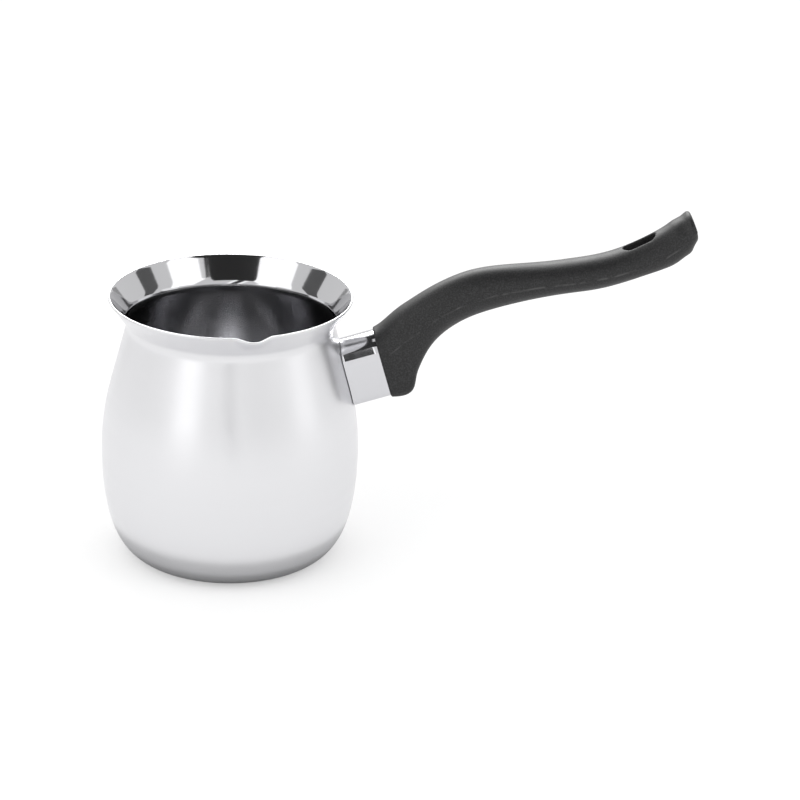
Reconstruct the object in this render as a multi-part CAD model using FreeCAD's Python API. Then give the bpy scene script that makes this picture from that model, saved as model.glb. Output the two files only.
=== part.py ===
import FreeCAD, Part
import math
import os

V = FreeCAD.Vector

# Turkish coffee pot (cezve) in sheet steel with a moulded handle.  Millimetres, +Z up.
# The origin is the middle of the base, on the axis of the pot; the handle runs along +X.

# --- pot: driving dimensions -------------------------------------------------------------
WALL = 0.9
POT_HEIGHT = 111.7
BELLY_RADIUS = 53.0
NECK_INSET = 11.0           # from the belly in to where the shoulder and flare lines would cross
FLARE_REACH = 8.0           # from there out to the rim
FLARE_HEIGHT = 11.3         # and up to the rim
NECK_ROUND = 5.5
SHOULDER_HEIGHT = 55.7      # from the belly up to that crossing
SHOULDER_LEAN = 15.0        # degrees from upright
HEEL_INSET = 18.0           # from the belly in to the edge of the base
HEEL_REACH = 0.59           # share of the heel's width that leaves the base level
HEEL_LIFT = 0.70            # share of the belly height that leaves the belly upright
RING_EDGE = 5.0             # from the edge of the base in to its pressed ring
RING_WIDTH = 4.0
RING_RISE = 0.8
RING_RAMP = 1.0
SPOUT_ANGLE = -80.5         # degrees from the handle, about +Z
SPOUT_SPREAD = 8.5          # degrees each side of the spout's middle
SPOUT_REACH = 2.6           # how far the spout stands out past the rim
SPOUT_DIP = 0.9
SPOUT_BEND = 0.5
SPOUT_SECTIONS = 6
JOIN = 0.002                # the spout's own curves meet the round rim within this

BASE_RADIUS = BELLY_RADIUS - HEEL_INSET
RING_OUTER = BASE_RADIUS - RING_EDGE
RING_INNER = RING_OUTER - RING_WIDTH
NECK_RADIUS = BELLY_RADIUS - NECK_INSET
NECK_HEIGHT = POT_HEIGHT - FLARE_HEIGHT
BELLY_HEIGHT = NECK_HEIGHT - SHOULDER_HEIGHT
FLARE_LEAN = math.degrees(math.atan2(FLARE_REACH, FLARE_HEIGHT))

# --- handle fixing: driving dimensions ---------------------------------------------------
ARM_ANGLE = 16.4            # degrees that the handle's seat faces upwards
ARM_DROP = 30.4             # from the neck down to the flame guard's lowest rear edge
GUARD_REACH = 15.554        # from the pot out to that edge
GUARD_WIDTH = 18.0
GUARD_HEIGHT = 27.0
GUARD_CROWN = 6.8
GUARD_CORNER = 3.0
GUARD_SHEET = 0.8
BRACKET_SHEET = 1.2
BRACKET_PLAY = 1.7          # each side, inside the flame guard
BRACKET_SETBACK = 4.0       # face of the bracket behind the flame guard's rear edge
BRACKET_HEADROOM = 4.4      # from the bracket up to the flame guard's crown
PAD_MARGIN = 1.0            # welded pad past the bracket's legs, above and below
TAB_WIDTH = 8.0
TAB_LENGTH = 10.0
TAB_BELOW = 5.1             # the tab's underside below the bracket's top
SCREW_HEIGHT = 8.0
SCREW_DIAMETER = 4.0
SCREW_PAST_NUT = 2.1
HEAD_DIAMETER = 8.0
HEAD_HEIGHT = 2.8
HEAD_ROUND = 1.26
RECESS_WIDTH = 1.0
RECESS_SPAN = 4.4
RECESS_DEPTH = 1.6
NUT_FLATS = 7.0
NUT_HEIGHT = 3.2
NUT_PLAY = 0.7              # from the nut's flat down to the bracket's lower leg
WASHER_DIAMETER = 7.4
WASHER_THICKNESS = 1.0
WASHER_SPLIT = 0.9
THREAD_GAP = 0.03
HOLE_GAP = 0.25
POCKET_GAP = 0.3
SEAT_DEPTH = 6.5            # from the handle's front face to the screw's seat

ARM_Z = NECK_HEIGHT - ARM_DROP
ARM_X = NECK_RADIUS + ARM_DROP * math.tan(math.radians(SHOULDER_LEAN)) + GUARD_REACH
NUT_RADIUS = NUT_FLATS / math.sqrt(3)
BRACKET_WIDTH = GUARD_WIDTH - 2 * (GUARD_SHEET + BRACKET_PLAY)
BRACKET_LOW = SCREW_HEIGHT - NUT_FLATS / 2 - NUT_PLAY - BRACKET_SHEET
BRACKET_HIGH = GUARD_HEIGHT - BRACKET_HEADROOM
BRACKET_BACK = -BRACKET_SETBACK
BRACKET_FRONT = BRACKET_BACK - BRACKET_SHEET
TAB_HEIGHT = BRACKET_HIGH - TAB_BELOW
NUT_FRONT = BRACKET_FRONT - NUT_HEIGHT

# --- handle: driving dimensions ----------------------------------------------------------
GRIP_MARGIN = 0.7           # handle stands proud of the flame guard all round
GRIP_FRONT_ROUND = 0.6
GRIP_WIDTH = 18.0
FOOT_SOLE = 6.0             # along the arm to where the foot's sole turns up
FOOT_DROP = 0.8             # how far the foot's sole drops by there
FOOT_RISE = 2.3             # and how far its top rises
SLOT_LENGTH = 14.4
SLOT_WIDTH = 6.8
SLOT_X = 100.1              # middle of the hanging slot, from the guard's lowest rear edge
SLOT_Z = 64.5
SLOT_LEAN = 25.5
TIP_ROUND = 1.0
TIP_STEPS = 4
SECTION_POINTS = 40

# Side view of the handle from the foot to the tip: its top, from the flame guard's highest rear
# edge (x, z), its underside, from the lowest rear edge (x, z), its share of the full width, and
# its ovalness.  Ovalness 0 is the flame guard's outline, 1 is a plain oval.
GRIP_STATIONS = [
    (9.7, 9.1, 10.1, 5.6, 1.0, 0.15),
    (12.5, 11.3, 11.0, 9.8, 1.0, 0.35),
    (16.7, 14.3, 13.7, 16.0, 1.0, 0.60),
    (22.5, 18.2, 18.5, 23.0, 1.0, 0.85),
    (29.9, 22.3, 25.7, 29.0, 1.0, 1.0),
    (39.5, 26.0, 34.5, 33.6, 1.0, 1.0),
    (51.7, 28.1, 46.1, 37.4, 1.0, 1.0),
    (66.3, 29.2, 60.3, 40.9, 1.0, 1.0),
    (81.3, 31.0, 75.9, 43.5, 1.0, 1.0),
    (96.9, 34.3, 92.9, 47.2, 1.0, 1.0),
    (110.3, 40.2, 107.9, 52.3, 1.0, 1.0),
    (118.3, 45.1, 115.9, 56.1, 1.0, 1.0),
    (122.8, 48.3, 120.7, 59.9, 0.98, 1.0),
    (125.3, 50.05, 122.35, 62.65, 0.965, 1.0),
]

# The flat end of the tip, before its edge is rounded, from the same two edges.
TIP_TOP = (127.7, 51.5)
TIP_LOW = (124.4, 65.8)
TIP_SHARE = 0.95


def slope(angle):
    return V(math.cos(math.radians(angle)), 0, math.sin(math.radians(angle)))


ARM = slope(ARM_ANGLE)
ARM_UP = slope(ARM_ANGLE + 90)
SIDE = V(0, 1, 0)


def arm_point(along, across, up):
    """A point measured from the flame guard's lowest rear edge."""
    return V(ARM_X, 0, ARM_Z) + ARM * along + SIDE * across + ARM_UP * up


def top_point(x, z):
    """A point of the side view, from the flame guard's highest rear edge."""
    return arm_point(0, 0, GUARD_HEIGHT) + V(x, 0, z)


def low_point(x, z):
    """A point of the side view, from the flame guard's lowest rear edge."""
    return arm_point(0, 0, 0) + V(x, 0, z)


def arm_box(along, across, up):
    """A box given by its (from, to) along, across and up the arm."""
    box = Part.makeBox(along[1] - along[0], across[1] - across[0], up[1] - up[0])
    box.Placement = FreeCAD.Placement(arm_point(along[0], across[0], up[0]), FreeCAD.Rotation(ARM, SIDE, ARM_UP))
    return box


def arm_rod(radius, start, end):
    """A cylinder on the screw's line."""
    return Part.makeCylinder(radius, end - start, arm_point(start, 0, SCREW_HEIGHT), ARM)


def line(a, b):
    return Part.LineSegment(a, b).toShape()


# --- pot ---------------------------------------------------------------------------------

def neck_corner(inset):
    """Where the shoulder line and the flare line cross, moved in by inset."""
    lean = math.radians(SHOULDER_LEAN)
    flare = math.radians(FLARE_LEAN)
    both = inset / (1 + math.cos(lean + flare))
    across = NECK_RADIUS - both * (math.cos(lean) + math.cos(flare))
    return V(across, 0, NECK_HEIGHT + both * (math.sin(flare) - math.sin(lean)))


def lip_point(inset, reach, dip):
    """End of the flare under the rounded lip, pulled out by reach and down by dip."""
    middle = neck_corner(WALL / 2)
    length = (POT_HEIGHT - WALL / 2 - middle.z) / math.cos(math.radians(FLARE_LEAN))
    middle += slope(90 - FLARE_LEAN) * length
    return middle + slope(-FLARE_LEAN) * (WALL / 2 - inset) + V(reach, 0, -dip)


def pot_side(inset):
    """The pot's side from heel to flare, moved in by inset, and the flare's start."""
    belly = BELLY_RADIUS - inset
    heel = V(BASE_RADIUS - inset / 2, 0, inset)
    waist = V(belly, 0, BELLY_HEIGHT)
    curve = Part.BezierCurve()
    curve.setPoles([
        heel,
        heel + V(HEEL_REACH * (belly - heel.x), 0, 0),
        waist - V(0, 0, HEEL_LIFT * (BELLY_HEIGHT - inset)),
        waist,
    ])
    corner = neck_corner(inset)
    meet = corner.z - (belly - corner.x) / math.tan(math.radians(SHOULDER_LEAN))
    radius = (meet - BELLY_HEIGHT) / math.tan(math.radians(SHOULDER_LEAN / 2))
    centre = V(belly - radius, 0, BELLY_HEIGHT)
    shoulder_mid = centre + slope(SHOULDER_LEAN / 2) * radius
    shoulder = centre + slope(SHOULDER_LEAN) * radius
    neck_round = NECK_ROUND + inset
    back = neck_round * math.tan(math.radians((SHOULDER_LEAN + FLARE_LEAN) / 2))
    neck_low = corner - slope(90 + SHOULDER_LEAN) * back
    neck_high = corner + slope(90 - FLARE_LEAN) * back
    neck_centre = neck_low + slope(SHOULDER_LEAN) * neck_round
    neck_mid = neck_centre - slope((SHOULDER_LEAN - FLARE_LEAN) / 2) * neck_round
    edges = [
        curve.toShape(),
        Part.Arc(waist, shoulder_mid, shoulder).toShape(),
        line(shoulder, neck_low),
        Part.Arc(neck_low, neck_mid, neck_high).toShape(),
    ]
    return heel, edges, neck_high


def pot_base(low, heel):
    """The base from the axis to the heel, with its pressed ring."""
    points = [
        V(0, 0, low),
        V(RING_INNER, 0, low),
        V(RING_INNER + RING_RAMP, 0, low + RING_RISE),
        V(RING_OUTER - RING_RAMP, 0, low + RING_RISE),
        V(RING_OUTER, 0, low),
        heel,
    ]
    return [line(a, b) for a, b in zip(points, points[1:])]


def turned(edges, angle=360):
    return Part.Face(Part.Wire(Part.__sortEdges__(edges))).revolve(V(0, 0, 0), V(0, 0, 1), angle)


def pot_block(inset):
    """The space inside the pot's outside, moved in by inset, as one solid."""
    heel, side, flare = pot_side(inset)
    rim = lip_point(inset, 0, 0)
    top = V(0, 0, rim.z)
    closing = [line(flare, rim), line(rim, top), line(top, V(0, 0, heel.z))]
    return turned(pot_base(heel.z, heel) + side + closing)


def flare_section(pull):
    """The flared edge with its round lip; pull, 0 to 1, draws it into the spout."""
    reach = SPOUT_REACH * pull
    dip = SPOUT_DIP * pull
    ends = []
    edges = []
    for inset in (0, WALL):
        start = pot_side(inset)[2]
        end = lip_point(inset, reach, dip)
        bend = Part.BezierCurve()
        bend.setPoles([start, start + slope(90 - FLARE_LEAN) * (end - start).Length * SPOUT_BEND, end])
        edges.append(bend.toShape())
        ends.append((start, end))
    crown = (ends[0][1] + ends[1][1]) / 2 + slope(90 - FLARE_LEAN) * (WALL / 2)
    edges.append(Part.Arc(ends[0][1], crown, ends[1][1]).toShape())
    edges.append(line(ends[0][0], ends[1][0]))
    return edges


def spout():
    """The stretch of the flare that is drawn out to pour."""
    sections = []
    for k in range(-SPOUT_SECTIONS, SPOUT_SECTIONS + 1):
        share = k / SPOUT_SECTIONS
        wire = Part.Wire(Part.__sortEdges__(flare_section(math.cos(share * math.pi / 2) ** 2)))
        wire.rotate(V(0, 0, 0), V(0, 0, 1), SPOUT_ANGLE + share * SPOUT_SPREAD)
        sections.append(wire)
    return Part.makeLoft(sections, True, False)


def pot_body():
    heel, outer, outer_flare = pot_side(0)
    floor, inner, inner_flare = pot_side(WALL)
    axis = line(V(0, 0, heel.z), V(0, 0, floor.z))
    sheet = pot_base(heel.z, heel) + outer + [line(outer_flare, inner_flare)]
    sheet += inner + pot_base(floor.z, floor) + [axis]
    rim = turned(flare_section(0), 360 - 2 * SPOUT_SPREAD)
    rim.rotate(V(0, 0, 0), V(0, 0, 1), SPOUT_ANGLE + SPOUT_SPREAD)
    return turned(sheet).fuse([rim, spout()], JOIN).removeSplitter()


# --- handle fixing -----------------------------------------------------------------------

def guard_outline(margin, along):
    """Upright D outline across the arm, with a crowned top, larger by margin all round."""
    half = GUARD_WIDTH / 2 + margin
    low = -margin
    corner = GUARD_CORNER + margin
    spring = GUARD_HEIGHT - GUARD_CROWN
    crown = GUARD_CROWN + margin
    turn = corner * (1 - math.sqrt(0.5))

    def p(across, up):
        return arm_point(along, across, up)

    oval = Part.Ellipse(p(half, spring), p(0, spring + crown), p(0, spring))
    if crown > half:
        oval = Part.Ellipse(p(0, spring + crown), p(half, spring), p(0, spring))
    start = oval.parameter(p(half, spring))
    end = oval.parameter(p(-half, spring))
    if end < start:
        end += 2 * math.pi
    return Part.Wire([
        line(p(0, low), p(half - corner, low)),
        Part.Arc(p(half - corner, low), p(half - turn, low + turn), p(half, low + corner)).toShape(),
        line(p(half, low + corner), p(half, spring)),
        Part.Edge(oval, start, end),
        line(p(-half, spring), p(-half, low + corner)),
        Part.Arc(p(-half, low + corner), p(turn - half, low + turn), p(corner - half, low)).toShape(),
        line(p(corner - half, low), p(0, low)),
    ])


def guard_bar(margin):
    face = Part.Face(guard_outline(margin, -2 * GUARD_HEIGHT))
    return face.extrude(ARM * 2 * GUARD_HEIGHT)


def flame_guard(outside):
    return guard_bar(0).cut(guard_bar(-GUARD_SHEET)).cut(outside)


def handle_bracket(outside):
    """Spot-welded pad, two legs, a face for the nut and a tab that locks the handle."""
    half = BRACKET_WIDTH / 2
    reach = 2 * GUARD_HEIGHT
    sheet = BRACKET_SHEET
    pad = pot_block(-sheet).cut(outside)
    pad = pad.common(arm_box((-reach, 0), (-half, half), (BRACKET_LOW - PAD_MARGIN, BRACKET_HIGH + PAD_MARGIN)))
    bracket = pad.fuse([
        arm_box((-reach, BRACKET_BACK), (-half, half), (BRACKET_LOW, BRACKET_LOW + sheet)),
        arm_box((-reach, BRACKET_BACK), (-half, half), (BRACKET_HIGH - sheet, BRACKET_HIGH)),
        arm_box((BRACKET_FRONT, BRACKET_BACK), (-half, half), (BRACKET_LOW, BRACKET_HIGH)),
        arm_box((BRACKET_FRONT, BRACKET_BACK + TAB_LENGTH), (-TAB_WIDTH / 2, TAB_WIDTH / 2),
                (TAB_HEIGHT, TAB_HEIGHT + sheet)),
    ])
    hole = arm_rod(SCREW_DIAMETER / 2 + HOLE_GAP, BRACKET_FRONT - sheet, BRACKET_BACK + sheet)
    return bracket.cut(outside).cut(hole).removeSplitter()


def bracket_nut():
    corners = []
    for k in range(7):
        turn = math.radians(60 * k)
        across = NUT_RADIUS * math.cos(turn)
        corners.append(arm_point(NUT_FRONT, across, SCREW_HEIGHT + NUT_RADIUS * math.sin(turn)))
    nut = Part.Face(Part.makePolygon(corners)).extrude(ARM * NUT_HEIGHT)
    return nut.cut(arm_rod(SCREW_DIAMETER / 2 + THREAD_GAP, NUT_FRONT - 1, BRACKET_FRONT + 1))


def handle_screw():
    head_start = SEAT_DEPTH + WASHER_THICKNESS
    head_end = head_start + HEAD_HEIGHT
    shank = arm_rod(SCREW_DIAMETER / 2, NUT_FRONT - SCREW_PAST_NUT, head_start)
    head = arm_rod(HEAD_DIAMETER / 2, head_start, head_end)
    crown = arm_point(head_end, 0, SCREW_HEIGHT)
    rim = min((e for e in head.Edges if e.Closed), key=lambda e: (e.CenterOfMass - crown).Length)
    screw = shank.fuse(head.makeFillet(HEAD_ROUND, [rim])).removeSplitter()
    along = (head_end - RECESS_DEPTH, head_end + 1)
    narrow = RECESS_WIDTH / 2
    wide = RECESS_SPAN / 2
    for across, up in ((narrow, wide), (wide, narrow)):
        screw = screw.cut(arm_box(along, (-across, across), (SCREW_HEIGHT - up, SCREW_HEIGHT + up)))
    return screw


def spring_washer():
    end = SEAT_DEPTH + WASHER_THICKNESS
    ring = arm_rod(WASHER_DIAMETER / 2, SEAT_DEPTH, end)
    ring = ring.cut(arm_rod(SCREW_DIAMETER / 2 + HOLE_GAP, SEAT_DEPTH - 1, end + 1))
    half = WASHER_SPLIT / 2
    return ring.cut(arm_box((SEAT_DEPTH - 1, end + 1), (-half, half), (SCREW_HEIGHT, SCREW_HEIGHT + WASHER_DIAMETER)))


# --- handle ------------------------------------------------------------------------------

def grip_section(top, bottom, width, oval):
    """Closed smooth curve between a top and a bottom point of the side view."""
    up = (top - bottom).normalize()
    height = (top - bottom).Length
    guard = guard_outline(0, 0).discretize(SECTION_POINTS + 1)[:-1]
    points = []
    for k, g in enumerate(guard):
        out = g - arm_point(0, 0, 0)
        d_across = out.y / GUARD_WIDTH
        d_up = out.dot(ARM_UP) / GUARD_HEIGHT
        turn = 2 * math.pi * k / SECTION_POINTS
        o_across = math.sin(turn) / 2
        o_up = (1 - math.cos(turn)) / 2
        across = (d_across + (o_across - d_across) * oval) * width
        rise = (d_up + (o_up - d_up) * oval) * height
        points.append(bottom + SIDE * across + up * rise)
    curve = Part.BSplineCurve()
    curve.interpolate(Points=points, PeriodicFlag=True)
    return Part.Wire(curve.toShape())


def tip_sections():
    """The end of the handle, with a quarter round about its flat end."""
    tip_top = top_point(*TIP_TOP)
    tip_low = low_point(*TIP_LOW)
    down = (tip_low - tip_top).normalize()
    out = V(-down.z, 0, down.x)
    sections = []
    for k in range(TIP_STEPS + 1):
        turn = math.radians(90 * k / TIP_STEPS)
        inset = TIP_ROUND * (1 - math.cos(turn))
        back = out * (TIP_ROUND * (math.sin(turn) - 1))
        top = tip_top + down * inset + back
        low = tip_low - down * inset + back
        sections.append(grip_section(top, low, GRIP_WIDTH * TIP_SHARE - 2 * inset, 1))
    return sections


def grip_blank():
    """The handle before its holes: a loft from the seat on the flame guard to the tip."""
    width = GUARD_WIDTH + 2 * GRIP_MARGIN
    low = -GRIP_MARGIN
    high = GUARD_HEIGHT + GRIP_MARGIN
    sections = [
        grip_section(arm_point(0, 0, high), arm_point(0, 0, low), width, 0),
        grip_section(arm_point(FOOT_SOLE, 0, high + FOOT_RISE), arm_point(FOOT_SOLE, 0, low - FOOT_DROP), width, 0),
    ]
    for top_x, top_z, low_x, low_z, share, oval in GRIP_STATIONS:
        wide = width + (GRIP_WIDTH - width) * oval
        sections.append(grip_section(top_point(top_x, top_z), low_point(low_x, low_z), wide * share, oval))
    blank = Part.makeLoft(sections + tip_sections(), True, False)
    front = min((e for e in blank.Edges if e.Closed), key=lambda e: e.CenterOfMass.x)
    return blank.makeFillet(GRIP_FRONT_ROUND, [front])


def hanging_slot():
    """A stadium that passes right through the handle, square to its slope."""
    half = (SLOT_LENGTH - SLOT_WIDTH) / 2
    depth = 2 * GUARD_HEIGHT
    along = slope(SLOT_LEAN)
    up = slope(SLOT_LEAN + 90)
    start = low_point(SLOT_X, SLOT_Z) - up * (depth / 2)
    left = start - along * half
    right = start + along * half
    side = SIDE * (SLOT_WIDTH / 2)
    outline = Part.Wire([
        line(left - side, right - side),
        Part.Arc(right - side, right + along * (SLOT_WIDTH / 2), right + side).toShape(),
        line(right + side, left + side),
        Part.Arc(left + side, left - along * (SLOT_WIDTH / 2), left - side).toShape(),
    ])
    return Part.Face(outline).extrude(up * depth)


def handle_grip():
    half = TAB_WIDTH / 2 + POCKET_GAP
    pocket_end = TAB_LENGTH - BRACKET_SETBACK + POCKET_GAP
    pocket = (TAB_HEIGHT - POCKET_GAP, TAB_HEIGHT + BRACKET_SHEET + POCKET_GAP)
    grip = grip_blank().cut(hanging_slot())
    grip = grip.cut(arm_rod(SCREW_DIAMETER / 2 + HOLE_GAP, -1, SEAT_DEPTH + 1))
    grip = grip.cut(arm_rod(HEAD_DIAMETER / 2 + HOLE_GAP, SEAT_DEPTH, SEAT_DEPTH + 4 * HEAD_HEIGHT))
    return grip.cut(arm_box((-1, pocket_end), (-half, half), pocket))


if __name__ == "__main__":
    os.makedirs("parts", exist_ok=True)
    outside = pot_block(0)
    parts = {
        "pot_body": pot_body(),
        "flame_guard": flame_guard(outside),
        "handle_bracket": handle_bracket(outside),
        "bracket_nut": bracket_nut(),
        "handle_grip": handle_grip(),
        "handle_screw": handle_screw(),
        "spring_washer": spring_washer(),
    }
    for name, shape in parts.items():
        print(name, len(shape.Solids), shape.isValid(), round(shape.Volume, 1))
        shape.exportStep("parts/" + name + ".step")
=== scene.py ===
import math

import bmesh
import bpy
from bpy.props import FloatProperty, FloatVectorProperty, IntProperty, PointerProperty
from mathutils import Matrix, Vector


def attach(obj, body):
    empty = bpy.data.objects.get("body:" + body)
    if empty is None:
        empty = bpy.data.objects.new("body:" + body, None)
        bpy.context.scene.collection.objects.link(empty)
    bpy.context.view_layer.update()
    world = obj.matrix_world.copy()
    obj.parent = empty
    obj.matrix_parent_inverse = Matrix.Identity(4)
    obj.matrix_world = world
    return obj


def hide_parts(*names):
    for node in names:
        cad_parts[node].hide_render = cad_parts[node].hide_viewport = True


bl_info = {
    "name": "Turkish coffee pot",
    "version": (1, 0, 0),
    "blender": (4, 5, 0),
    "location": "3D View > Sidebar > Coffee pot",
    "description": "Builds a spun steel coffee pot with its flame guard and moulded handle",
    "category": "Add Mesh",
}

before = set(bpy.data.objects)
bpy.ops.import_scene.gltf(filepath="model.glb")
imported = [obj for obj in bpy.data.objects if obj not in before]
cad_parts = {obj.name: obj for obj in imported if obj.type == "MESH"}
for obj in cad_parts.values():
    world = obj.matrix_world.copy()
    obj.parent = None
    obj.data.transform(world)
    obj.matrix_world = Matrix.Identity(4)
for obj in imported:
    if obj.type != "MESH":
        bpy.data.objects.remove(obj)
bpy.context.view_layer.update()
MM = 0.001


# --- sizes and colours --------------------------------------------------------------------

def size(name, description, default_mm):
    return FloatProperty(name=name, description=description, default=default_mm * MM,
                         unit="LENGTH", subtype="DISTANCE", precision=5)


def angle(name, description, default_degrees):
    return FloatProperty(name=name, description=description, default=math.radians(default_degrees),
                         unit="ROTATION", subtype="ANGLE")


def hex_to_linear(code):
    """sRGB hex such as E4E4E6 to linear red, green and blue."""
    channels = [int(code[i:i + 2], 16) / 255 for i in (0, 2, 4)]
    return [c / 12.92 if c <= 0.04045 else ((c + 0.055) / 1.055) ** 2.4 for c in channels]


def colour(name, description, code):
    return FloatVectorProperty(name=name, description=description, default=hex_to_linear(code),
                               subtype="COLOR", size=3, min=0.0, max=1.0)


class PotSizes(bpy.types.PropertyGroup):
    """The drawn and spun steel pot."""
    wall: size("Wall", "Thickness of the steel sheet", 0.9)
    height: size("Height", "From the table to the top of the rim", 111.7)
    base_radius: size("Base radius", "Radius of the flat base", 35.0)
    belly_radius: size("Belly radius", "Largest outside radius", 53.0)
    belly_height: size("Belly height", "Height of the largest radius", 44.7)
    neck_radius: size("Neck radius", "Radius where shoulder and flare would meet", 42.0)
    neck_height: size("Neck height", "Height where shoulder and flare would meet", 100.4)
    neck_round: size("Neck round", "Radius of the bend at the neck", 5.5)
    rim_radius: size("Rim radius", "Outside radius at the rim", 50.0)
    shoulder_lean: angle("Shoulder lean", "Lean of the shoulder from upright", 15.0)
    ring_inner: size("Ring inner radius", "Inside of the ring pressed in the base", 26.0)
    ring_outer: size("Ring outer radius", "Outside of the ring pressed in the base", 30.0)
    ring_rise: size("Ring rise", "Height of the pressed ring", 0.8)
    spout_angle: angle("Spout angle", "Direction of the pouring lip from the handle", -80.5)
    spout_reach: size("Spout reach", "How far the pouring lip is drawn out", 2.7)
    spout_dip: size("Spout dip", "How far the pouring lip is drawn down", 1.0)
    spout_spread: size("Spout spread", "Reach of the pull round the pouring lip", 7.6)
    columns: IntProperty(name="Columns", description="Faces round the pot", default=288, min=48, max=360)


class HandleSizes(bpy.types.PropertyGroup):
    """The flame guard and the moulded handle."""
    arm_angle: angle("Arm angle", "How far the handle's seat faces upwards", 16.4)
    arm_x: size("Seat along", "Lowest rear edge of the guard, from the pot's axis", 65.7)
    arm_z: size("Seat height", "Lowest rear edge of the guard, above the table", 70.0)
    guard_width: size("Guard width", "Outside width of the flame guard", 18.0)
    guard_height: size("Guard height", "Outside height of the flame guard", 27.0)
    guard_crown: size("Guard crown", "Height of the crowned top", 6.8)
    guard_corner: size("Guard corner", "Radius of the lower corners", 3.0)
    guard_sheet: size("Guard sheet", "Thickness of the guard's sheet", 0.8)
    guard_reach: size("Guard reach", "Length of the sleeve before it is cut to the pot", 24.0)
    guard_gap: size("Guard gap", "Gap between the sleeve and the pot", 0.25)
    slot_x: size("Slot along", "Middle of the hanging slot, from the pot's axis", 165.8)
    slot_z: size("Slot height", "Middle of the hanging slot, above the table", 134.5)
    slot_length: size("Slot length", "Length of the hanging slot", 14.4)
    slot_width: size("Slot width", "Width of the hanging slot", 6.8)
    slot_lean: angle("Slot lean", "Slope of the handle at the slot", 25.5)
    tip_x: size("Tip along", "Lower corner of the handle's end, from the pot's axis", 189.2)
    tip_z: size("Tip height", "Lower corner of the handle's end, above the table", 136.4)
    tip_round: size("Tip softening", "Reach of the softening at the handle's end", 4.6)
    grain: size("Remesh grain", "Size of the handle's faces", 0.36)
    seam_rise: size("Seam rise", "Height of the mould line", 0.12)
    seam_width: size("Seam width", "Width of the mould line", 0.3)


class PotColours(bpy.types.PropertyGroup):
    """Colours of the finishes."""
    steel: colour("Steel", "Polished stainless sheet", "E1E1E3")
    # The inside's tint is darker than the outside's steel: painted shade in the pot's hollow below the
    # neck.
    inside: colour("Inside", "Stainless sheet inside the pot", "B4B4B6")
    flare: colour("Flare", "Buffed stainless sheet above the neck", "C6C6C8")
    guard: colour("Guard", "Mirror-polished stainless sheet", "CFCFD2")
    zinc: colour("Zinc", "Bright zinc plate", "B9BCC2")
    bracket: colour("Bracket", "Raw stamped strip", "A7A6A3")
    resin: colour("Resin", "Black phenolic moulding", "0D0D0E")
    resin_seam: colour("Resin seam", "Trimmed mould line", "464646")
    filler: colour("Filler", "Mineral filler that shows in the resin", "2B2B2C")
    floor: colour("Floor", "Opal acrylic floor", "CCCCCC")


# --- modelling helpers --------------------------------------------------------------------

def start_fresh():
    """Object mode, with nothing selected."""
    if bpy.context.object and bpy.context.object.mode != "OBJECT":
        bpy.ops.object.mode_set(mode="OBJECT")
    bpy.ops.object.select_all(action="DESELECT")


def edit_new(name):
    """Names the primitive just added and opens it in edit mode."""
    piece = bpy.context.object
    piece.name = name
    piece.data.name = name
    bpy.ops.object.mode_set(mode="EDIT")
    return piece


def choose(piece, kind, keep):
    """Selects the vertices, edges or faces of the piece in edit mode whose middle passes keep."""
    bpy.ops.mesh.select_mode(type=kind)
    bpy.ops.mesh.select_all(action="DESELECT")
    mesh = bmesh.from_edit_mesh(piece.data)
    for part in {"VERT": mesh.verts, "EDGE": mesh.edges, "FACE": mesh.faces}[kind]:
        corners = [part.co] if kind == "VERT" else [v.co for v in part.verts]
        middle = sum(corners, Vector()) / len(corners)
        if keep(middle):
            part.select_set(True)
    mesh.select_flush_mode()
    bmesh.update_edit_mesh(piece.data)


def finish_modifier(piece, kind, **settings):
    """Adds a modifier with its settings and applies it."""
    modifier = piece.modifiers.new(kind.title(), kind)
    for key, value in settings.items():
        setattr(modifier, key, value)
    with bpy.context.temp_override(object=piece, active_object=piece, selected_objects=[piece]):
        bpy.ops.object.modifier_apply(modifier=modifier.name)


def hand_in(piece, slot, *nodes):
    """The piece rides on the body and stands for its CAD nodes."""
    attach(piece, "root")
    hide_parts(*nodes)


# --- pot ----------------------------------------------------------------------------------

# How the pot is drawn: shares have no unit, steps are counts of rings.
BASE_SHARES = (0.35, 0.7, 0.9, 0.98, 1.0)
RING_RAMP = 1.0 * MM
HEEL_REACH = 0.59
HEEL_LIFT = 0.70
HEEL_STEPS = 30
BELLY_STEPS = 10
SHOULDER_STEPS = 14
NECK_STEPS = 8
FLARE_STEPS = 10
LIP_STEPS = 8
SPOUT_GRIP = 1.2 * MM
FLARE_POLISH_FROM = 0.5 * MM


def arc(centre, radius, first, last, steps):
    """Points along an arc in the profile's plane, without its start."""
    points = []
    for k in range(1, steps + 1):
        turn = first + (last - first) * k / steps
        points.append(centre + Vector((math.cos(turn), math.sin(turn))) * radius)
    return points


def straight(start, end, steps):
    """Points along a line, without its start."""
    return [start.lerp(end, k / steps) for k in range(1, steps + 1)]


def eased(start, low, high, end, steps):
    """Points along a curve with two handles, without its start."""
    points = []
    for k in range(1, steps + 1):
        t = k / steps
        u = 1 - t
        points.append(u ** 3 * start + 3 * u ** 2 * t * low + 3 * u * t * t * high + t ** 3 * end)
    return points


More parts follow.
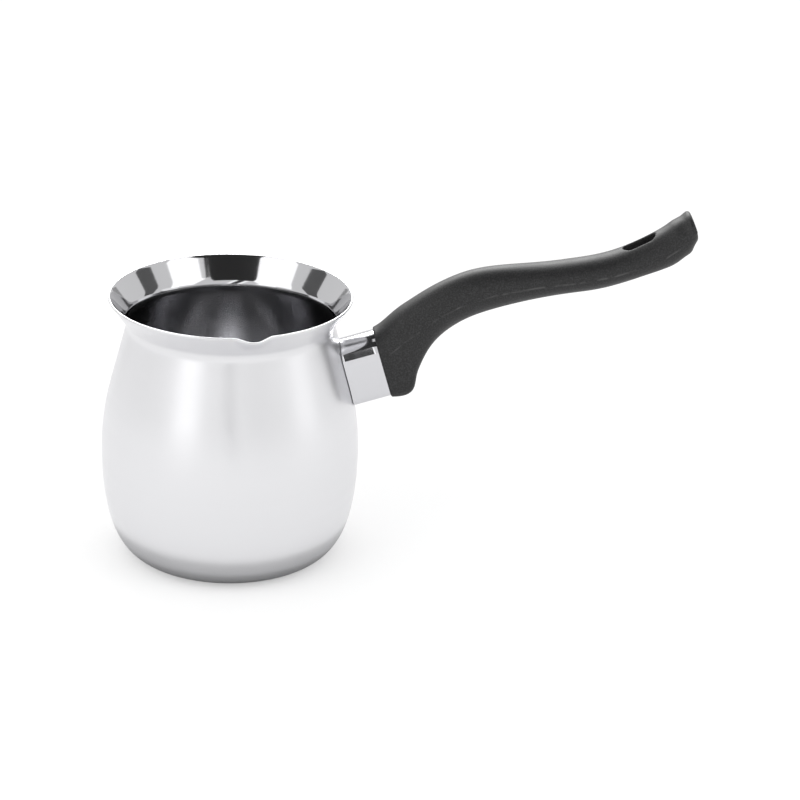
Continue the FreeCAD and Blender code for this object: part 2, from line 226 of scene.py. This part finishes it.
def turned(name, rings, columns):
    """Draws a circle up through the rings and closes it, ready in edit mode."""
    start_fresh()
    bpy.ops.mesh.primitive_circle_add(vertices=columns, radius=rings[0].x, fill_type="NGON",
                                      location=(0, 0, rings[0].y))
    piece = edit_new(name)
    bpy.ops.mesh.select_mode(type="EDGE")
    bpy.ops.mesh.select_all(action="SELECT")
    for last, ring in zip(rings, rings[1:]):
        bpy.ops.mesh.extrude_edges_move(TRANSFORM_OT_translate={"value": (0, 0, ring.y - last.y)})
        grow = ring.x / last.x
        bpy.ops.transform.resize(value=(grow, grow, 1), center_override=(0, 0, ring.y))
    bpy.ops.mesh.edge_face_add()
    bpy.ops.mesh.select_all(action="SELECT")
    bpy.ops.mesh.normals_make_consistent(inside=False)
    return piece


def flare_angle(s):
    """Lean of the flare from upright."""
    return math.atan2(s.rim_radius - s.neck_radius, s.height - s.neck_height)


def neck_corner(s, inset, flare):
    """Where the shoulder's and the flare's lines meet, some way in from the outside."""
    lean = s.shoulder_lean
    both = inset / (1 + math.cos(lean + flare))
    return Vector((s.neck_radius - both * (math.cos(lean) + math.cos(flare)),
                   s.neck_height + both * (math.sin(flare) - math.sin(lean))))


def lip_centre(s):
    """Middle of the sheet at the top of the flare."""
    flare = flare_angle(s)
    corner = neck_corner(s, s.wall / 2, flare)
    climb = (s.height - s.wall / 2 - corner.y) / math.cos(flare)
    return corner + Vector((math.sin(flare), math.cos(flare))) * climb


def pot_profile(s, inset):
    """Radius and height of the pot's surface from the base's middle to under the lip."""
    flare = flare_angle(s)
    lean = s.shoulder_lean
    up_shoulder = Vector((-math.sin(lean), math.cos(lean)))
    belly = s.belly_radius - inset
    points = [Vector((s.ring_inner * share, inset)) for share in BASE_SHARES]
    across_ring = s.ring_outer - s.ring_inner
    for radius, rise in ((RING_RAMP, 1), (across_ring - RING_RAMP, 1), (across_ring, 0)):
        target = Vector((s.ring_inner + radius, inset + s.ring_rise * rise))
        points += straight(points[-1], target, 3)
    heel = Vector((s.base_radius - inset / 2, inset))
    points += straight(points[-1], heel, 3)
    waist = Vector((belly, s.belly_height))
    low = heel + Vector((HEEL_REACH * (belly - heel.x), 0))
    high = waist - Vector((0, HEEL_LIFT * (s.belly_height - inset)))
    points += eased(heel, low, high, waist, HEEL_STEPS)
    corner = neck_corner(s, inset, flare)
    meet = corner.y - (belly - corner.x) / math.tan(lean)
    radius = (meet - s.belly_height) / math.tan(lean / 2)
    points += arc(Vector((belly - radius, s.belly_height)), radius, 0, lean, BELLY_STEPS)
    neck_round = s.neck_round + inset
    back = neck_round * math.tan((lean + flare) / 2)
    neck_low = corner - up_shoulder * back
    points += straight(points[-1], neck_low, SHOULDER_STEPS)
    centre = neck_low + Vector((math.cos(lean), math.sin(lean))) * neck_round
    points += arc(centre, neck_round, math.pi + lean, math.pi - flare, NECK_STEPS)
    across = Vector((math.cos(flare), -math.sin(flare)))
    points += straight(points[-1], lip_centre(s) + across * (s.wall / 2 - inset), FLARE_STEPS)
    return points


class POT_OT_shell(bpy.types.Operator):
    """Spins the steel pot ring by ring and draws out its pouring lip"""
    bl_idname = "coffee_pot.shell"
    bl_label = "Pot"

    def execute(self, context):
        s = context.scene.pot_sizes
        flare = flare_angle(s)
        outside = pot_profile(s, 0)
        lip = arc(lip_centre(s), s.wall / 2, -flare, math.pi - flare, LIP_STEPS)[:-1]
        inside = pot_profile(s, s.wall)
        piece = turned("pot_shell", outside + lip + inside[::-1], s.columns)
        towards = Vector((math.cos(s.spout_angle), math.sin(s.spout_angle), 0))
        edge = towards * s.rim_radius + Vector((0, 0, s.height))
        choose(piece, "VERT", lambda v: (v - edge).length < SPOUT_GRIP)
        pull = towards * s.spout_reach - Vector((0, 0, s.spout_dip))
        bpy.ops.transform.translate(value=pull, use_proportional_edit=True,
                                    proportional_edit_falloff="SMOOTH", proportional_size=s.spout_spread)
        bpy.ops.object.mode_set(mode="OBJECT")
        bpy.ops.object.shade_smooth()
        paint(piece, materials()["steel"], materials()["inside"], materials()["flare"])
        # Inside faces below the neck take the darker inside tint, which is painted shade in the hollow.
        first_inside = (len(outside) + len(lip) - 1) * s.columns
        for face in piece.data.polygons:
            if min(face.vertices) >= first_inside:
                above_neck = face.center.z > s.neck_height + FLARE_POLISH_FROM
                face.material_index = 2 if above_neck else 1
        hand_in(piece, "pot_steel", "pot_body")
        return {"FINISHED"}


# --- flame guard --------------------------------------------------------------------------

GUARD_STEPS = 12
CROWN_CUTS = 31
CORNER_STEPS = 8
SELECT_SLACK = 0.01 * MM
EDGE_BREAK = 0.15 * MM


def set_on_arm(piece, h):
    """Turns a piece modelled along +X up to the arm's angle and moves it to the seat."""
    start_fresh()
    piece.select_set(True)
    bpy.context.view_layer.objects.active = piece
    piece.matrix_world = Matrix.Translation((h.arm_x, 0, h.arm_z)) @ Matrix.Rotation(-h.arm_angle, 4, "Y")
    bpy.ops.object.transform_apply(location=True, rotation=True, scale=True)


class POT_OT_guard(bpy.types.Operator):
    """Folds the flame guard's sleeve and cuts its end to the pot"""
    bl_idname = "coffee_pot.guard"
    bl_label = "Flame guard"

    def execute(self, context):
        s = context.scene.pot_sizes
        h = context.scene.handle_sizes
        spring = h.guard_height - h.guard_crown
        start_fresh()
        bpy.ops.mesh.primitive_plane_add(size=1)
        piece = edit_new("guard_sleeve")
        bpy.ops.transform.rotate(value=math.pi / 2, orient_axis="Y", center_override=(0, 0, 0))
        bpy.ops.transform.resize(value=(1, h.guard_width, spring), center_override=(0, 0, 0))
        bpy.ops.transform.translate(value=(0, 0, spring / 2))
        choose(piece, "VERT", lambda v: v.z < spring / 2)
        bpy.ops.mesh.bevel(offset=h.guard_corner, segments=CORNER_STEPS, affect="VERTICES")
        choose(piece, "EDGE", lambda m: m.z > spring - SELECT_SLACK)
        bpy.ops.mesh.subdivide(number_cuts=CROWN_CUTS)
        choose(piece, "VERT", lambda v: v.z > spring - SELECT_SLACK and abs(v.y) < SELECT_SLACK)
        bpy.ops.transform.translate(value=(0, 0, h.guard_crown), use_proportional_edit=True,
                                    proportional_edit_falloff="SPHERE", use_proportional_connected=True,
                                    proportional_size=h.guard_width / 2)
        bpy.ops.mesh.select_all(action="SELECT")
        bpy.ops.mesh.delete(type="ONLY_FACE")
        bpy.ops.mesh.select_all(action="SELECT")
        back = (-h.guard_reach / GUARD_STEPS, 0, 0)
        for step in range(GUARD_STEPS):
            bpy.ops.mesh.extrude_edges_move(TRANSFORM_OT_translate={"value": back})
        bpy.ops.mesh.select_all(action="SELECT")
        bpy.ops.mesh.normals_make_consistent(inside=False)
        bpy.ops.object.mode_set(mode="OBJECT")
        finish_modifier(piece, "SOLIDIFY", thickness=h.guard_sheet, offset=-1)
        set_on_arm(piece, h)
        cutter = self.pot_block(s, h)
        finish_modifier(piece, "BOOLEAN", operation="DIFFERENCE", object=cutter, solver="EXACT")
        bpy.data.objects.remove(cutter)
        finish_modifier(piece, "BEVEL", width=EDGE_BREAK, segments=3, limit_method="ANGLE",
                        angle_limit=math.radians(50))
        start_fresh()
        piece.select_set(True)
        context.view_layer.objects.active = piece
        bpy.ops.object.shade_smooth_by_angle(angle=math.radians(40))
        paint(piece, materials()["guard"])
        hand_in(piece, "guard_steel", "flame_guard")
        return {"FINISHED"}

    def pot_block(self, s, h):
        """The pot's outside as a block, to cut the sleeve with."""
        rings = [p + Vector((h.guard_gap, 0)) for p in pot_profile(s, 0)]
        block = turned("pot_block", rings, s.columns)
        bpy.ops.object.mode_set(mode="OBJECT")
        return block


# --- handle -------------------------------------------------------------------------------

# Softening of the slot's rim: how far from the rim it reaches, and how many rounds.
SLOT_SOFTENING = ((2.0 * MM, 22), (1.1 * MM, 16))
SLOT_RIM_FROM = 4.5 * MM
TIP_ROUNDS = 45
SOFTENING = 0.6
# The mould line shows only on the sides, this far from the handle's middle plane.
SIDE_FACING = 0.8
SIDE_FROM = 6 * MM

# Side view of the mould line, along the handle: (x, z) in millimetres.
MOULD_LINE = (
    (56.0, 81.5), (63.0, 87.8), (70.5, 94.4), (77.3, 99.4), (83.6, 104.4),
    (93.6, 110.0), (106.1, 114.2), (123.3, 117.6), (140.0, 119.6), (154.2, 122.3),
    (166.4, 126.2), (174.5, 129.6), (181.2, 134.4), (186.4, 139.6), (192.0, 145.5),
)


def mould_height(x):
    """Height of the mould line at x, in metres."""
    for (x0, z0), (x1, z1) in zip(MOULD_LINE, MOULD_LINE[1:]):
        if x <= x1 * MM:
            share = (x - x0 * MM) / ((x1 - x0) * MM)
            return (z0 + (z1 - z0) * share) * MM
    return MOULD_LINE[-1][1] * MM


class POT_OT_grip(bpy.types.Operator):
    """Softens the handle's edges as a worn mould does and raises its mould line"""
    bl_idname = "coffee_pot.grip"
    bl_label = "Handle"

    def execute(self, context):
        h = context.scene.handle_sizes
        start_fresh()
        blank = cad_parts["handle_grip"]
        piece = bpy.data.objects.new("grip_moulding", blank.data.copy())
        context.scene.collection.objects.link(piece)
        piece.select_set(True)
        context.view_layer.objects.active = piece
        bpy.ops.object.mode_set(mode="EDIT")
        bpy.ops.mesh.select_all(action="SELECT")
        bpy.ops.mesh.remove_doubles(threshold=0.0005 * MM)
        bpy.ops.object.mode_set(mode="OBJECT")
        finish_modifier(piece, "REMESH", mode="VOXEL", voxel_size=h.grain)
        finish_modifier(piece, "SMOOTH", factor=0.5, iterations=8)
        bpy.ops.object.mode_set(mode="EDIT")
        self.soften(piece, h)
        self.raise_mould_line(piece, h)
        bpy.ops.object.mode_set(mode="OBJECT")
        bpy.ops.object.shade_smooth()
        paint(piece, materials()["resin"])
        hand_in(piece, "handle_resin", "handle_grip")
        return {"FINISHED"}

    def soften(self, piece, h):
        """Rounds the rims of the hanging slot and the lower corner of the handle's end."""
        unlean = Matrix.Rotation(h.slot_lean, 3, "Y")
        middle = Vector((h.slot_x, 0, h.slot_z))
        for reach, rounds in SLOT_SOFTENING:
            def near_slot(v):
                local = unlean @ (v - middle)
                over = max(abs(local.x) - (h.slot_length - h.slot_width) / 2, 0)
                from_wall = abs(math.hypot(over, local.y) - h.slot_width / 2)
                return from_wall < reach and abs(local.z) > SLOT_RIM_FROM
            choose(piece, "VERT", near_slot)
            bpy.ops.mesh.vertices_smooth(factor=SOFTENING, repeat=rounds)
        choose(piece, "VERT", lambda v: math.hypot(v.x - h.tip_x, v.z - h.tip_z) < h.tip_round)
        bpy.ops.mesh.vertices_smooth(factor=SOFTENING, repeat=TIP_ROUNDS)

    def raise_mould_line(self, piece, h):
        """Lifts a fine ridge along both sides and marks it for the resin's finish."""
        mesh = bmesh.from_edit_mesh(piece.data)
        seam = mesh.verts.layers.float.new("mould_line")
        for vert in mesh.verts:
            off = (vert.co.z - mould_height(vert.co.x)) / h.seam_width
            on_side = abs(vert.normal.y) > SIDE_FACING and abs(vert.co.y) > SIDE_FROM
            if abs(off) < 3 and on_side:
                vert[seam] = math.exp(-off * off)
        for vert in mesh.verts:
            vert.co += vert.normal * h.seam_rise * vert[seam]
        bmesh.update_edit_mesh(piece.data)


# --- materials ----------------------------------------------------------------------------

# Polishing lines are about 0.05 mm apart; they are drawn wider apart so that they show.
LINE_GAP = 0.8 * MM
BAND_GAP = 3.0 * MM


def node(tree, kind, links=None, **settings):
    """Adds a node with its settings; links maps its sockets to values or to other sockets."""
    new = tree.nodes.new(kind)
    for key, value in settings.items():
        setattr(new, key, value)
    for socket, value in (links or {}).items():
        if isinstance(value, bpy.types.NodeSocket):
            tree.links.new(value, new.inputs[socket])
        else:
            new.inputs[socket].default_value = value
    return new


def blank_material(name):
    material = bpy.data.materials.new(name)
    material.use_nodes = True
    material.node_tree.nodes.clear()
    return material, material.node_tree


def close_material(tree, shader):
    node(tree, "ShaderNodeOutputMaterial", {"Surface": shader.outputs["BSDF"]})


def spun_steel(name, tint, rough, depth):
    """Stainless steel sheet spun and polished on a lathe: a soft mirror with hair-fine rings round it."""
    material, tree = blank_material(name)
    place = node(tree, "ShaderNodeTexCoord").outputs["Object"]
    axes = node(tree, "ShaderNodeSeparateXYZ", {"Vector": place})
    flat = node(tree, "ShaderNodeCombineXYZ", {"X": axes.outputs["X"], "Y": axes.outputs["Y"]})
    radius = node(tree, "ShaderNodeVectorMath", {0: flat.outputs["Vector"]}, operation="LENGTH")
    travel = node(tree, "ShaderNodeMath",
                {0: radius.outputs["Value"], 1: axes.outputs["Z"]}, operation="ADD")
    lines = node(tree, "ShaderNodeCombineXYZ",
                 {"X": axes.outputs["X"], "Y": axes.outputs["Y"], "Z": travel.outputs["Value"]})
    line_scale = (14, 14, 1 / LINE_GAP)
    fine = node(tree, "ShaderNodeVectorMath", {0: lines.outputs["Vector"], 1: line_scale},
                operation="MULTIPLY")
    grooves = node(tree, "ShaderNodeTexNoise",
                {"Vector": fine.outputs["Vector"], "Scale": 1.0, "Detail": 3.0})
    band_scale = (8, 8, 1 / BAND_GAP)
    wide = node(tree, "ShaderNodeVectorMath", {0: lines.outputs["Vector"], 1: band_scale},
                operation="MULTIPLY")
    bands = node(tree, "ShaderNodeTexNoise",
                {"Vector": wide.outputs["Vector"], "Scale": 1.0, "Detail": 3.0})
    gloss = node(tree, "ShaderNodeMapRange",
                 {"Value": bands.outputs["Fac"], "From Min": 0.3, "From Max": 0.7,
                  "To Min": rough * 0.94, "To Max": rough * 1.07})
    bump = node(tree, "ShaderNodeBump",
                {"Height": grooves.outputs["Fac"], "Strength": 1.0, "Distance": depth})
    shader = node(tree, "ShaderNodeBsdfPrincipled",
                  {"Base Color": (*tint, 1), "Metallic": 1.0, "Roughness": gloss.outputs["Result"],
                   "Normal": bump.outputs["Normal"]})
    close_material(tree, shader)
    return material


def mirror_steel(name, tint):
    """Buffed stainless sheet: a mirror with the slight waves of folded sheet and faint wipe marks."""
    material, tree = blank_material(name)
    place = node(tree, "ShaderNodeTexCoord").outputs["Object"]
    waves = node(tree, "ShaderNodeTexNoise", {"Vector": place, "Scale": 1 / (9 * MM), "Detail": 1.0})
    bump = node(tree, "ShaderNodeBump",
                {"Height": waves.outputs["Fac"], "Strength": 1.0, "Distance": 0.012 * MM})
    wipes = node(tree, "ShaderNodeTexNoise", {"Vector": place, "Scale": 1 / (4 * MM), "Detail": 4.0})
    gloss = node(tree, "ShaderNodeMapRange",
                {"Value": wipes.outputs["Fac"], "To Min": 0.04, "To Max": 0.14})
    shader = node(tree, "ShaderNodeBsdfPrincipled",
                  {"Base Color": (*tint, 1), "Metallic": 1.0, "Roughness": gloss.outputs["Result"],
                   "Normal": bump.outputs["Normal"]})
    close_material(tree, shader)
    return material


def plated_steel(name, tint, rough, grain):
    """Zinc-plated or raw steel strip: metal with a fine dull grain."""
    material, tree = blank_material(name)
    place = node(tree, "ShaderNodeTexCoord").outputs["Object"]
    specks = node(tree, "ShaderNodeTexNoise", {"Vector": place, "Scale": 1 / grain, "Detail": 3.0})
    gloss = node(tree, "ShaderNodeMapRange",
                 {"Value": specks.outputs["Fac"], "To Min": rough * 0.7, "To Max": rough * 1.3})
    bump = node(tree, "ShaderNodeBump",
                {"Height": specks.outputs["Fac"], "Strength": 0.4, "Distance": 0.01 * MM})
    shader = node(tree, "ShaderNodeBsdfPrincipled",
                  {"Base Color": (*tint, 1), "Metallic": 1.0, "Roughness": gloss.outputs["Result"],
                   "Normal": bump.outputs["Normal"]})
    close_material(tree, shader)
    return material


def phenolic(name, tint, filler_tint, seam_tint):
    """Compression-moulded black phenolic resin: satin black, fine filler grain, a paler trimmed seam."""
    material, tree = blank_material(name)
    place = node(tree, "ShaderNodeTexCoord").outputs["Object"]
    filler = node(tree, "ShaderNodeTexNoise", {"Vector": place, "Scale": 1 / (0.55 * MM), "Detail": 4.0})
    cloud = node(tree, "ShaderNodeTexNoise", {"Vector": place, "Scale": 1 / (14 * MM), "Detail": 2.0})
    seam = node(tree, "ShaderNodeAttribute", attribute_name="mould_line")
    broken = node(tree, "ShaderNodeTexNoise", {"Vector": place, "Scale": 1 / (5 * MM), "Detail": 2.0})
    patchy = node(tree, "ShaderNodeMapRange",
                {"Value": broken.outputs["Fac"], "From Min": 0.45, "From Max": 0.65})
    worn = node(tree, "ShaderNodeMath", {0: seam.outputs["Fac"], 1: patchy.outputs["Result"]},
                operation="MULTIPLY")
    dust = node(tree, "ShaderNodeMapRange",
                {"Value": filler.outputs["Fac"], "From Min": 0.42, "From Max": 0.7})
    body = node(tree, "ShaderNodeMix",
                {"Factor": dust.outputs["Result"], "A": (*tint, 1), "B": (*filler_tint, 1)},
                data_type="RGBA")
    mix = node(tree, "ShaderNodeMix",
               {"Factor": worn.outputs["Value"], "A": body.outputs[2], "B": (*seam_tint, 1)},
               data_type="RGBA")
    gloss = node(tree, "ShaderNodeMapRange",
                {"Value": cloud.outputs["Fac"], "To Min": 0.42, "To Max": 0.56})
    bump = node(tree, "ShaderNodeBump",
                {"Height": filler.outputs["Fac"], "Strength": 0.6, "Distance": 0.06 * MM})
    shader = node(tree, "ShaderNodeBsdfPrincipled",
                  {"Base Color": mix.outputs[2], "Roughness": gloss.outputs["Result"], "IOR": 1.46,
                   "Normal": bump.outputs["Normal"]})
    close_material(tree, shader)
    return material


def light_table(name, tint, glow):
    """Opal acrylic sheet lit from below: a matt white that softens the pot's contact shadow."""
    material, tree = blank_material(name)
    place = node(tree, "ShaderNodeTexCoord").outputs["Object"]
    tooth = node(tree, "ShaderNodeTexNoise", {"Vector": place, "Scale": 1 / (1.5 * MM)})
    bump = node(tree, "ShaderNodeBump",
                {"Height": tooth.outputs["Fac"], "Strength": 0.1, "Distance": 0.02 * MM})
    shader = node(tree, "ShaderNodeBsdfPrincipled",
                  {"Base Color": (*tint, 1), "Roughness": 0.9, "Emission Color": (1, 1, 1, 1),
                   "Emission Strength": glow, "Normal": bump.outputs["Normal"]})
    close_material(tree, shader)
    return material


def card(name, grey):
    """Studio card that only the metal sees."""
    material, tree = blank_material(name)
    shader = node(tree, "ShaderNodeBsdfPrincipled", {"Base Color": (grey, grey, grey, 1), "Roughness": 1.0})
    close_material(tree, shader)
    return material


MADE = {}


def materials():
    """Every finish, made once."""
    if not MADE:
        c = bpy.context.scene.pot_colours
        MADE["steel"] = spun_steel("stainless_spun_satin", c.steel, 0.33, 0.0030 * MM)
        # The inside's darker tint is painted shade in the pot's hollow.
        MADE["inside"] = spun_steel("stainless_inside_satin_painted_shade", c.inside, 0.20, 0.0030 * MM)
        MADE["flare"] = spun_steel("stainless_flare_polished", c.flare, 0.07, 0.0010 * MM)
        MADE["guard"] = mirror_steel("stainless_mirror_buffed", c.guard)
        MADE["zinc"] = plated_steel("zinc_plated_steel", c.zinc, 0.3, 0.5 * MM)
        MADE["bracket"] = plated_steel("stainless_strip_raw", c.bracket, 0.4, 0.3 * MM)
        MADE["resin"] = phenolic("phenolic_black_moulded", c.resin, c.filler, c.resin_seam)
        MADE["floor"] = light_table("acrylic_opal_light_table", c.floor, 0.40)
        MADE["card_black"] = card("studio_card_black", 0.02)
        MADE["card_dark"] = card("studio_card_dark", 0.12)
        MADE["card_grey"] = card("studio_card_grey", 0.4)
        MADE["card_pale"] = card("studio_card_pale", 0.6)
    return MADE


def paint(piece, *finishes):
    piece.data.materials.clear()
    for finish in finishes:
        piece.data.materials.append(finish)


class POT_OT_hardware(bpy.types.Operator):
    """Gives the bracket, nut, screw and spring washer their finishes"""
    bl_idname = "coffee_pot.hardware"
    bl_label = "Bracket and screw"

    def execute(self, context):
        finishes = {"handle_bracket": "bracket", "bracket_nut": "zinc", "handle_screw": "zinc",
                    "spring_washer": "zinc"}
        for name, finish in finishes.items():
            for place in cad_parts[name].material_slots:
                place.material = materials()[finish]
        return {"FINISHED"}


# --- studio -------------------------------------------------------------------------------

# Where the camera stands: angles in degrees, lengths in millimetres.
CAMERA_AZIMUTH = -5.2
CAMERA_ELEVATION = 22.48
CAMERA_ROLL = 1.79
CAMERA_DISTANCE = 1100.0
CAMERA_TARGET = (70.07, 0.0, 65.1)
CAMERA_LENS = 119.54
SENSOR = 36.0

FLOOR_RADIUS = 6.0
FLOOR_BORDER = 2.0
ROUND_FACES = 96
SHADE_SKIRT_LIFT = 0.2 * MM
BACKDROP = 0.92

# Name; azimuth, elevation and metres away; width and height in metres; watts; only in gloss; turn.
SOFTBOXES = (
    ("softbox_left", (-54, 43, 1.4), (1.0, 1.2), 3.4, False, 0),
    ("softbox_right", (56, 42, 1.4), (0.7, 1.0), 2.1, False, 0),
    ("softbox_back", (180, 38, 1.5), (1.2, 0.5), 19, True, 0),
    ("softbox_top", (0, 89, 1.0), (0.3, 0.3), 0.2, True, 0),
    ("softbox_front", (-4.5, 20, 0.93), (0.24, 0.84), 0.5, True, 19),
    ("softbox_low_left", (-42, 13, 1.3), (0.5, 0.6), 0.5, True, 0),
    ("softbox_low_right", (72, 13, 1.3), (0.5, 0.6), 0.35, True, 0),
)

# Name; azimuth, elevation and metres away; width and height in metres; finish; turn.
CARDS = (
    ("card_top", (90, 88, 1.21), (1.6, 1.1), "card_black", 0),
    ("card_front", (-5, 53, 1.35), (0.92, 0.5), "card_black", 0),
    ("card_guard", (-4.5, 20, 0.9), (0.11, 0.84), "card_black", 19),
    ("card_right", (103, 28, 1.3), (0.34, 0.5), "card_dark", 0),
    ("card_left", (-105, 27, 1.3), (0.4, 0.5), "card_dark", 0),
    ("card_back_right", (140, 5, 0.75), (0.34, 0.28), "card_grey", 0),
    ("card_back_left", (-140, 5, 0.75), (0.34, 0.28), "card_grey", 0),
)

# The grey rings round the foot are painted shade of the floor near the pot, darker nearer the foot, seen
# only in the pot's reflections.
# Name, inner radius, outer radius, finish.
SHADE_SKIRTS = (
    ("shade_skirt_inner", 36 * MM, 47 * MM, "card_grey"),
    ("shade_skirt_outer", 47 * MM, 58 * MM, "card_pale"),
)


def add_camera():
    turn = math.radians(CAMERA_AZIMUTH)
    drop = math.radians(CAMERA_ELEVATION)
    look = Vector((-math.sin(turn) * math.cos(drop), math.cos(turn) * math.cos(drop), -math.sin(drop)))
    right = look.cross(Vector((0, 0, 1))).normalized()
    right = Matrix.Rotation(math.radians(-CAMERA_ROLL), 3, look) @ right
    up = right.cross(look)
    place = Vector(CAMERA_TARGET) * MM - look * CAMERA_DISTANCE * MM
    data = bpy.data.cameras.new("camera")
    data.lens = CAMERA_LENS
    data.sensor_width = SENSOR
    data.clip_start = 0.05
    data.clip_end = 50
    camera = bpy.data.objects.new("camera", data)
    camera.matrix_world = Matrix((
        (right.x, up.x, -look.x, place.x),
        (right.y, up.y, -look.y, place.y),
        (right.z, up.z, -look.z, place.z),
        (0, 0, 0, 1),
    ))
    bpy.context.scene.collection.objects.link(camera)
    bpy.context.scene.camera = camera


def towards(azimuth, elevation, distance):
    """A point seen from the pot; azimuth 0 is the camera's side (-Y), 90 is the handle's (+X)."""
    a = math.radians(azimuth)
    e = math.radians(elevation)
    return Vector((math.sin(a) * math.cos(e), -math.cos(a) * math.cos(e), math.sin(e))) * distance


def facing(place, turn):
    """Stands at a place with its face to the pot, turned in its own plane by some degrees."""
    aim = place.to_track_quat("Z", "Y").to_matrix().to_4x4()
    return Matrix.Translation(place) @ aim @ Matrix.Rotation(math.radians(turn), 4, "Z")


def add_softbox(name, place, sides, power, only_gloss, turn):
    """A rectangular studio light that faces the pot."""
    data = bpy.data.lights.new(name, "AREA")
    data.shape = "RECTANGLE"
    data.size, data.size_y = sides
    data.energy = power
    lamp = bpy.data.objects.new(name, data)
    lamp.matrix_world = facing(place, turn)
    lamp.visible_diffuse = not only_gloss
    bpy.context.scene.collection.objects.link(lamp)


def seen_only_in_gloss(piece):
    piece.visible_camera = False
    piece.visible_diffuse = False
    piece.visible_shadow = False


def add_card(name, place, sides, finish, turn):
    """A studio card that faces the pot and shows only in its reflections."""
    start_fresh()
    bpy.ops.mesh.primitive_plane_add(size=1)
    piece = edit_new(name)
    bpy.ops.transform.resize(value=(*sides, 1))
    bpy.ops.object.mode_set(mode="OBJECT")
    piece.matrix_world = facing(place, turn)
    paint(piece, materials()[finish])
    seen_only_in_gloss(piece)


def add_shade_skirt(name, inner, outer, finish):
    """A grey ring round the pot's foot that shows only in its reflections: painted shade of the floor near
    the foot, for the pot's lower curve to mirror.
    """
    start_fresh()
    bpy.ops.mesh.primitive_circle_add(vertices=ROUND_FACES, radius=outer, fill_type="NOTHING",
                                      location=(0, 0, SHADE_SKIRT_LIFT))
    piece = edit_new(name)
    bpy.ops.mesh.extrude_edges_move()
    bpy.ops.transform.resize(value=(inner / outer, inner / outer, 1), center_override=(0, 0, 0))
    bpy.ops.object.mode_set(mode="OBJECT")
    paint(piece, materials()[finish])
    seen_only_in_gloss(piece)


class POT_OT_stage(bpy.types.Operator):
    """Lays the light table and sets the lights, the cards and the camera"""
    bl_idname = "coffee_pot.stage"
    bl_label = "Stage"

    def execute(self, context):
        start_fresh()
        bpy.ops.mesh.primitive_circle_add(vertices=ROUND_FACES, radius=FLOOR_RADIUS, fill_type="NGON")
        floor = edit_new("acrylic_floor")
        bpy.ops.mesh.inset(thickness=FLOOR_BORDER)
        bpy.ops.object.mode_set(mode="OBJECT")
        paint(floor, materials()["floor"])
        world = bpy.data.worlds.new("studio")
        world.use_nodes = True
        backdrop = world.node_tree.nodes["Background"]
        backdrop.inputs["Color"].default_value = (1, 1, 1, 1)
        backdrop.inputs["Strength"].default_value = BACKDROP
        context.scene.world = world
        for name, place, sides, power, only_gloss, turn in SOFTBOXES:
            add_softbox(name, towards(*place), sides, power, only_gloss, turn)
        for name, place, sides, finish, turn in CARDS:
            add_card(name, towards(*place), sides, finish, turn)
        # Grey rings of painted floor shade round the foot, seen only in the pot's reflections.
        for name, inner, outer, finish in SHADE_SKIRTS:
            add_shade_skirt(name, inner, outer, finish)
        add_camera()
        context.scene.view_settings.view_transform = "Standard"
        return {"FINISHED"}


# --- panel and registration ---------------------------------------------------------------

class POT_PT_panel(bpy.types.Panel):
    """Lists the sizes, the colours and the pieces"""
    bl_idname = "POT_PT_panel"
    bl_label = "Coffee pot"
    bl_space_type = "VIEW_3D"
    bl_region_type = "UI"
    bl_category = "Coffee pot"

    def draw(self, context):
        for group in (context.scene.pot_sizes, context.scene.handle_sizes, context.scene.pot_colours):
            box = self.layout.box()
            for name in group.__annotations__:
                box.prop(group, name)
        for step in STEPS:
            self.layout.operator(step.bl_idname)


STEPS = (POT_OT_shell, POT_OT_guard, POT_OT_grip, POT_OT_hardware, POT_OT_stage)
CLASSES = (PotSizes, HandleSizes, PotColours, *STEPS, POT_PT_panel)


def register():
    for item in CLASSES:
        bpy.utils.register_class(item)
    bpy.types.Scene.pot_sizes = PointerProperty(type=PotSizes)
    bpy.types.Scene.handle_sizes = PointerProperty(type=HandleSizes)
    bpy.types.Scene.pot_colours = PointerProperty(type=PotColours)


def unregister():
    for name in ("pot_sizes", "handle_sizes", "pot_colours"):
        delattr(bpy.types.Scene, name)
    for item in reversed(CLASSES):
        bpy.utils.unregister_class(item)


def main():
    register()
    bpy.ops.coffee_pot.shell()
    bpy.ops.coffee_pot.guard()
    bpy.ops.coffee_pot.grip()
    bpy.ops.coffee_pot.hardware()
    bpy.ops.coffee_pot.stage()


if __name__ == "__main__":
    main()
